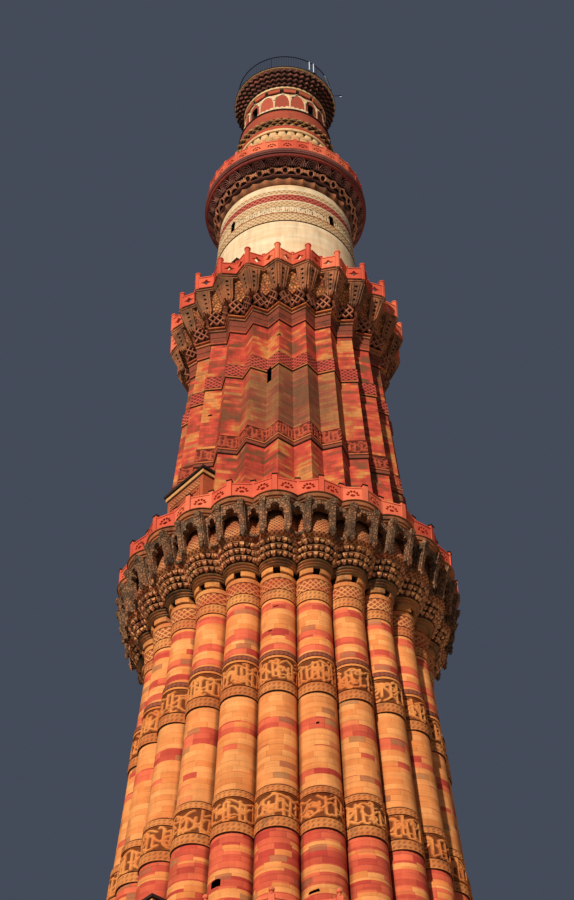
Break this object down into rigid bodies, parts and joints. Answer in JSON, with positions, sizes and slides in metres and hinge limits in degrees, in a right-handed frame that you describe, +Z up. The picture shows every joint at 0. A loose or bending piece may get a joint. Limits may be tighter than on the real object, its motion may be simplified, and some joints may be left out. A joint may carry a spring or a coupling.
{
  "type": "minaret, 1:2 scale model",
  "caption": "Tapering fluted stone minaret in storeys with corbelled balconies, pierced parapets and a railed top platform, as a half-scale model.",
  "frame": {"origin": "middle of the base face", "axes": "+Z up the tower, -Y out of every doorway, +X to the right of someone who faces the doors"},
  "size_m": [7.16, 7.1492, 36.4875],
  "materials": {
    "red_sandstone": "weathered red sandstone ashlar in courses of mixed reds, with thin joints",
    "banded_sandstone": "buff and orange sandstone ashlar with courses of red, weathered",
    "brown_sandstone": "deep-carved brown sandstone, stained dark in its hollows",
    "salmon_sandstone": "newer salmon-red sandstone, dressed smooth",
    "marble": "aged cream marble, streaked by rain",
    "black_iron": "black paint on thin iron bars"
  },
  "bodies": {
    "root": {"plinth": "red_sandstone", "storey_1_base_front_right": "red_sandstone", "storey_1_wall_front_right": "red_sandstone", "storey_1_base_back_right": "red_sandstone", "storey_1_wall_back_right": "red_sandstone", "storey_1_base_back_left": "red_sandstone", "storey_1_wall_back_left": "red_sandstone", "storey_1_base_front_left": "red_sandstone", "storey_1_wall_front_left": "red_sandstone", "storey_2_wall_front_right": "banded_sandstone", "storey_2_wall_back_right": "banded_sandstone", "storey_2_wall_back_left": "banded_sandstone", "storey_2_wall_front_left": "banded_sandstone", "storey_3_wall_front_right": "red_sandstone", "storey_3_wall_back_right": "red_sandstone", "storey_3_wall_back_left": "red_sandstone", "storey_3_wall_front_left": "red_sandstone", "storey_4_wall_front_right": "marble", "storey_4_frieze_front_right": "marble", "storey_4_wall_back_right": "marble", "storey_4_frieze_back_right": "marble", "storey_4_wall_back_left": "marble", "storey_4_frieze_back_left": "marble", "storey_4_wall_front_left": "marble", "storey_4_frieze_front_left": "marble", "storey_4_crown": "marble", "storey_5_wall_front_right": "marble", "storey_5_wall_back_right": "marble", "storey_5_wall_back_left": "marble", "storey_5_wall_front_left": "marble", "balcony_1_corbels_left": "brown_sandstone", "balcony_1_parapet_left": "salmon_sandstone", "balcony_1_corbels_right": "brown_sandstone", "balcony_1_parapet_right": "salmon_sandstone", "balcony_1_floor": "brown_sandstone", "storey_1_door_surround": "banded_sandstone", "balcony_2_corbels_left": "brown_sandstone", "balcony_2_parapet_left": "salmon_sandstone", "balcony_2_corbels_right": "brown_sandstone", "balcony_2_parapet_right": "salmon_sandstone", "balcony_2_floor": "brown_sandstone", "storey_2_door_surround": "banded_sandstone", "balcony_3_corbels_left": "brown_sandstone", "balcony_3_parapet_left": "salmon_sandstone", "balcony_3_corbels_right": "brown_sandstone", "balcony_3_parapet_right": "salmon_sandstone", "balcony_3_floor": "brown_sandstone", "storey_3_door_surround": "banded_sandstone", "balcony_4_corbels_left": "brown_sandstone", "balcony_4_parapet_left": "salmon_sandstone", "balcony_4_corbels_right": "brown_sandstone", "balcony_4_parapet_right": "salmon_sandstone", "balcony_4_floor": "brown_sandstone", "storey_4_door_surround": "banded_sandstone", "top_platform": "brown_sandstone", "cupola_stump": "banded_sandstone", "top_railing": "black_iron"}
  },
  "joints": []
}
